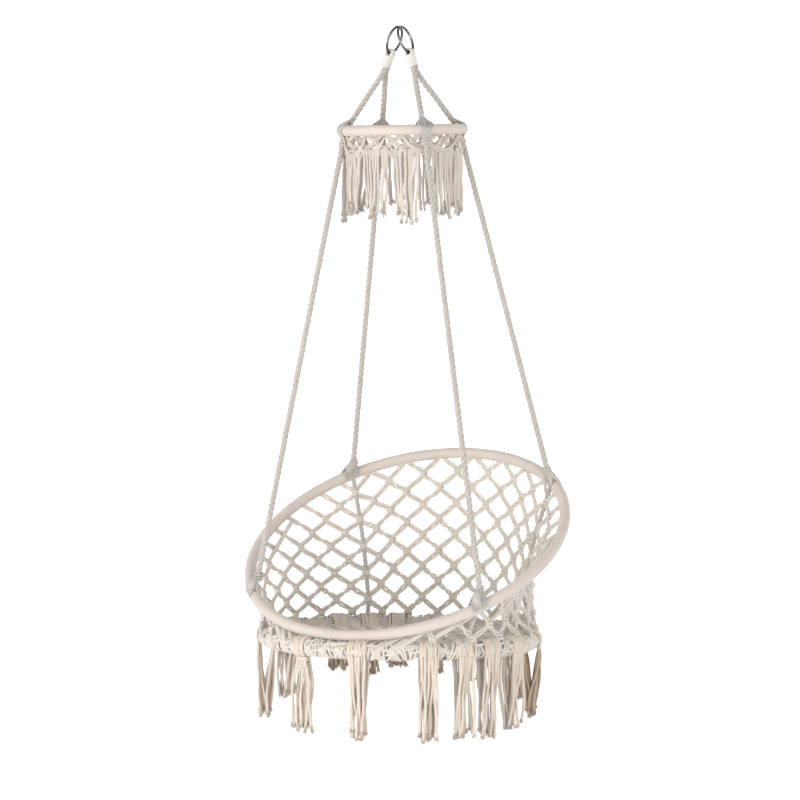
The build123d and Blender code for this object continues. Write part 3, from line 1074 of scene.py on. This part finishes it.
def rim_meeting(here, toward):
    """Where a line across the seat meets the inside of the seat hoop's cord."""
    offset = here - seat.centre
    flat = np.array([offset @ seat.side, offset @ seat.ahead])
    way = unit(np.array([toward @ seat.side, toward @ seat.ahead]))
    rim = seat.radius - seat.tube + 0.003
    along = flat @ way
    reach = -along + math.sqrt(along * along - flat @ flat + rim * rim)
    flat = flat + way * reach
    return seat.centre + flat[0] * seat.side + flat[1] * seat.ahead - 0.002 * seat.normal


# ---- spreader band and fringe


def band_point(angle, drop):
    wave = 0.0012 * math.sin(math.radians(angle) * 9 + drop * 90)
    return spreader.point(angle) + spreader.outward(angle) * wave - np.array([0, 0, drop])


def make_band():
    """The netted band under the spreader hoop: flat diamonds, with swags of cord across them."""
    mesh = CordMesh()
    step = 360.0 / BAND_COLUMNS
    cord = BAND_CORD
    for column in range(BAND_COLUMNS):
        angle = column * step + random.uniform(-0.8, 0.8)
        out = spreader.outward(angle)
        for row, drop in enumerate(BAND_ROWS):
            if (column + row) % 2:
                continue
            here = band_point(angle, drop)
            square_knot(mesh, here, spreader.along(angle), np.array([0, 0, 1.0]), cord, 0.9)
            for side in (-1, 1):
                above = BAND_ROWS[row - 1] if row else spreader.tube - 0.004
                end = band_point(angle + side * step, above + (0.002 if row else 0))
                doubled_cord(mesh, here + [0, 0, 0.002], end, out, cord, 0.0036, 0.0022, 3)
    for k in range(BAND_SWAGS):
        first = 360.0 * k / BAND_SWAGS + random.uniform(-5, 5)
        last = first + random.uniform(30, 44)
        low = random.uniform(0.054, 0.067)
        for strand in range(3):
            way = []
            for turn in np.linspace(first, last, 9):
                share = (turn - first) / (last - first)
                sag = 0.016 + (low - 0.016) * math.sin(math.pi * share) ** 0.7
                ply = 0.0042 * strand * math.sin(math.pi * share) ** 0.4
                face = 1 if k % 3 else -1
                point = band_point(turn, sag - ply)
                way.append(point + spreader.outward(turn) * face * (0.0034 + 0.0008 * strand))
            mesh.cord(smooth(way, 4), cord)
    piece = mesh.object("spreader_net_cords", band_cotton)
    return place(piece, "harness", "cotton_net", "spreader_net")


def hanging_string(mesh, start, end, cord, sway, clump):
    """A loose cord that hangs in slow waves and ends in a frayed tuft."""
    phase, second = random.uniform(0, 6.3), random.uniform(0, 6.3)
    length = np.linalg.norm(end - start)
    turn = random.uniform(0, 6.3)
    lean = np.array([math.cos(turn), math.sin(turn), 0])
    cross = np.array([-lean[1], lean[0], 0])
    way = []
    count = max(5, int(length / 0.018))
    for k in range(count + 1):
        share = k / count
        fade = min(1.0, 3 * share)
        wave = math.sin(phase + 5.0 * share) * lean + 0.5 * math.sin(second + 11 * share) * cross
        bulge = clump * math.sin(math.pi * share)
        way.append(start * (1 - share) + end * share + fade * sway * wave + bulge)
    path = smooth(way, 3)
    mesh.cord(path, cord, 6, 0.0032)
    fray(mesh, path[-1], unit(path[-1] - path[-3]), cord)


def fray(mesh, tip, fall, cord):
    """The brush of loose fibres at a cord's cut end."""
    for _ in range(FRAY_FIBRES):
        spread = np.array([random.gauss(0, 1), random.gauss(0, 1), random.gauss(0, 0.3)])
        reach = random.uniform(0.008, 0.015)
        side = spread * cord * 0.42
        root = tip - fall * 0.005 + side * 0.8
        middle = root + fall * reach * 0.5 + side * 0.6
        far = root + fall * reach + side * 1.5
        radii = (FIBRE_RADIUS * 1.8, FIBRE_RADIUS * 1.5, FIBRE_RADIUS * 0.9)
        mesh.tube(np.array([root, middle, far]), radii, 3)


def make_fringe(number):
    """A group of fringe strings, spread along the bottom of the band."""
    name = "fringe_" + str(number).zfill(2)
    low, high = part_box(name)
    angle = angle_on(spreader, np.array((low + high) / 2))
    fall = high[2] - low[2]
    mesh = CordMesh()
    for k in range(FRINGE_STRINGS):
        share = 2 * k / (FRINGE_STRINGS - 1) - 1
        reach = angle + math.degrees(0.031 * share / spreader.radius) + random.uniform(-1.2, 1.2)
        top = spreader.point(reach)
        top[2] = high[2] + 0.020
        drop = fall * random.uniform(0.80, 1.0) + 0.006
        side = spreader.along(angle) * (random.uniform(-0.007, 0.007) - 0.010 * share)
        side = side + spreader.outward(angle) * random.uniform(-0.005, 0.006)
        end = top - np.array([0, 0, drop]) + side
        cord = STRING_CORD * random.uniform(0.90, 1.08)
        hanging_string(mesh, top, end, cord, 0.0026, np.zeros(3))
    return place(mesh.object(name + "_strings", band_cotton), name, "cotton_tassel", name)


# ---- tassels


def make_tassel(number):
    """A tassel: cords folded over the seat hoop, hanging in a loose bundle with frayed ends."""
    name = "tassel_" + str(number).zfill(2)
    joint = next(j for j in frame["joints"] if j["child"] == name)
    centre = np.array(joint["pos_m"])
    angle = angle_on(seat, centre)
    low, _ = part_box(name)
    fall = centre[2] - low[2]
    rear = abs(math.remainder(angle - 180, 360)) < 75
    gathered = -48 < math.remainder(angle, 360) < 6
    mesh = CordMesh()
    along, out = seat.along(angle), outward_at(angle)
    grip = seat.tube + 1.6 * NET_CORD
    for k in range(TASSEL_FOLDS):
        share = 2 * k / (TASSEL_FOLDS - 1) - 1
        reach = angle + math.degrees(TASSEL_HALF_WIDTH * share / seat.radius) + random.uniform(-0.3, 0.3)
        lift = grip + STRING_CORD * random.uniform(0.2, 1.1)
        necks = []
        for face in (1, -1):
            neck = seat.around(reach, 90 - face * 118, lift)
            if gathered:
                neck = centre + along * 0.010 * share + out * face * random.uniform(0.004, 0.008)
                neck = neck - np.array([0, 0, grip + random.uniform(0.002, 0.006)])
            necks.append(neck)
        turns = [turn + random.uniform(-5, 5) for turn in (-14, 25, 60, 90, 120, 155, 194)]
        over = [seat.around(reach + random.uniform(-0.3, 0.3), turn, lift) for turn in turns]
        mesh.cord(smooth([necks[0], *over, necks[1]], 4), STRING_CORD)
        for face, neck in zip((1, -1), necks):
            length = fall - (centre[2] - neck[2]) - random.uniform(0.010, 0.030)
            drift = along * (0.019 * share + random.uniform(-0.005, 0.005))
            drift = drift + out * (face * 0.004 + random.uniform(-0.013, 0.013))
            end = centre + drift
            end[2] = neck[2] - length
            belly = along * share * (0.009 if gathered else -0.002)
            belly = belly + out * random.uniform(-0.005, 0.006)
            cord = STRING_CORD * random.uniform(0.90, 1.08)
            hanging_string(mesh, neck, end, cord, 0.0032, belly)
    if gathered:
        neck = centre - np.array([0, 0, grip + 0.006])
        for lap in range(2):
            ring = np.linspace(0, 2 * math.pi * 1.1, 22)
            loop = 0.0150 * np.cos(ring)[:, None] * along + 0.0120 * np.sin(ring)[:, None] * out
            mesh.cord(neck + loop - [0, 0, lap * 0.0048], NET_CORD)
    piece = mesh.object(name + "_strings", tassel_cotton)
    # painted shade: on the rear tassels the strings below the hoop take the darker cotton, while the loops
    # over the hoop keep the lit one
    if rear:
        piece.data.materials.append(painted_shade_tassel_cotton)
        for face in piece.data.polygons:
            face.material_index = int(face.center[2] < centre[2] - grip)
    return place(piece, name, "cotton_tassel", name)


# ---- build

for side in ("left", "right"):
    make_eye(side)
for corner in ("front_left", "back_left", "front_right", "back_right"):
    make_rope(corner)

side_end = NET_SIDE_COLUMNS
back_end = side_end + NET_BACK_COLUMNS
other_end = back_end + NET_SIDE_COLUMNS
front_end = other_end + NET_FRONT_COLUMNS
net_left = make_net("net_left_cords", 0, side_end, "net_left")
net_back = make_net("net_back_cords", side_end, back_end, "net_back")
net_right = make_net("net_right_cords", back_end, other_end, "net_right")
net_front = make_net("net_front_cords", other_end, front_end, "net_front", "front_lacing")
seat_net = make_seat_net()
lashing = lash_seat_hoop()
band = make_band()
fringes = [make_fringe(number) for number in range(1, FRINGES + 1)]
tassels = [make_tassel(number) for number in range(1, TASSELS + 1)]
make_floor()
